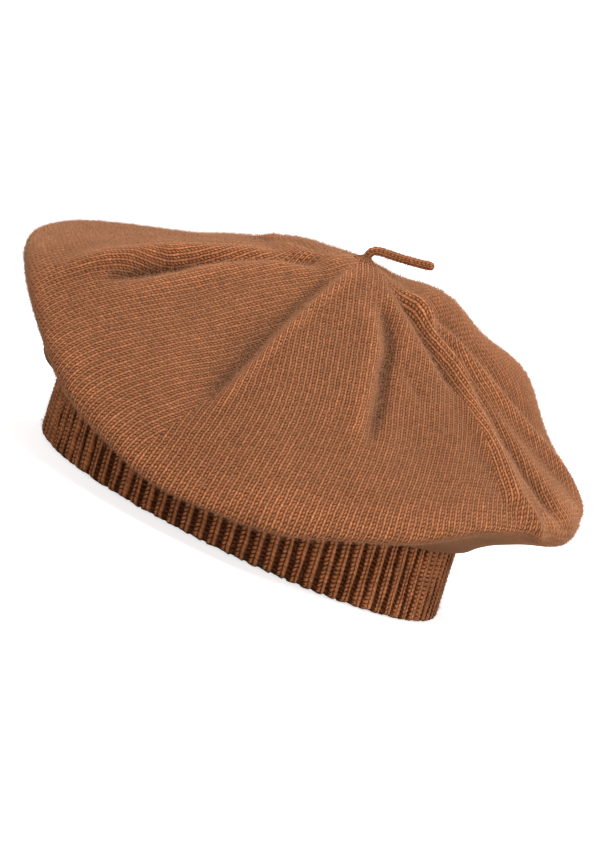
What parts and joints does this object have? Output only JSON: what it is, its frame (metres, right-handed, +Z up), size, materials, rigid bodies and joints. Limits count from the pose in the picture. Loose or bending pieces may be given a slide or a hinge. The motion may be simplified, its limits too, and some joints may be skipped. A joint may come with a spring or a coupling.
{
  "type": "knitted beret",
  "caption": "Slouchy knitted beret: ribbed head band, wide crown of fashioned gores drooping to one side, bent cord stalk, tape labels inside.",
  "frame": {"origin": "centre of the head opening, in the plane of the band's lower edge", "axes": "+Z up through the crown, -Y towards the side where the crown droops over the band, +X to the wearer's left when that side is worn in front"},
  "size_m": [0.2654, 0.2656, 0.1383],
  "materials": {
    "crown_knit": "soft brushed stockinette, rust camel",
    "rib_knit": "one by one rib, rust camel",
    "seam_yarn": "plied yarn, darker camel",
    "elastic": "covered elastic yarn",
    "label_tape": "blank woven tape"
  },
  "bodies": {
    "headband": {"headband": "rib_knit", "elastic_yarns": "elastic", "linking_seam": "seam_yarn", "label_stitches": "seam_yarn"},
    "brim_round": {"under_brim": "crown_knit"},
    "crown": {"crown_gore_1": "crown_knit", "crown_gore_2": "crown_knit", "crown_gore_3": "crown_knit", "crown_gore_4": "crown_knit", "gore_joins": "seam_yarn", "closing_ring": "seam_yarn", "tack_stitches": "seam_yarn"},
    "stalk_root": {"stalk_root": "crown_knit", "anchor_knot": "seam_yarn"},
    "stalk": {"stalk": "crown_knit"},
    "care_label": {"care_label": "label_tape"},
    "size_label": {"size_label": "label_tape"}
  },
  "joints": [
    {"name": "crown_flatten", "type": "slide", "parent": "headband", "child": "brim_round", "axis": [0, 0, -1], "range_m": [0, 0.014], "stiffness_N_per_m": 800},
    {"name": "crown_slouch", "type": "hinge", "parent": "brim_round", "child": "crown", "pos_m": [0, 0, 0.033], "axis": [-1, 0, 0], "range_deg": [-6, 11], "stiffness_Nm_per_rad": 4},
    {"name": "stalk_swivel", "type": "hinge", "parent": "crown", "child": "stalk_root", "pos_m": [0, 0, 0.127], "axis": [0, 0, 1], "range_deg": [-150, 150], "stiffness_Nm_per_rad": 0.002},
    {"name": "stalk_tilt", "type": "hinge", "parent": "stalk_root", "child": "stalk", "pos_m": [0, 0, 0.12915], "axis": [0, -1, 0], "range_deg": [-12, 75], "stiffness_Nm_per_rad": 0.002},
    {"name": "care_label_flip", "type": "hinge", "parent": "headband", "child": "care_label", "pos_m": [0, 0.086, 0.03605], "axis": [1, 0, 0], "range_deg": [0, 168], "stiffness_Nm_per_rad": 0.0005},
    {"name": "size_label_flip", "type": "hinge", "parent": "headband", "child": "size_label", "pos_m": [0.0377, 0.0773, 0.03605], "axis": [0.8988, -0.4384, 0], "range_deg": [0, 168], "stiffness_Nm_per_rad": 0.0002}
  ]
}
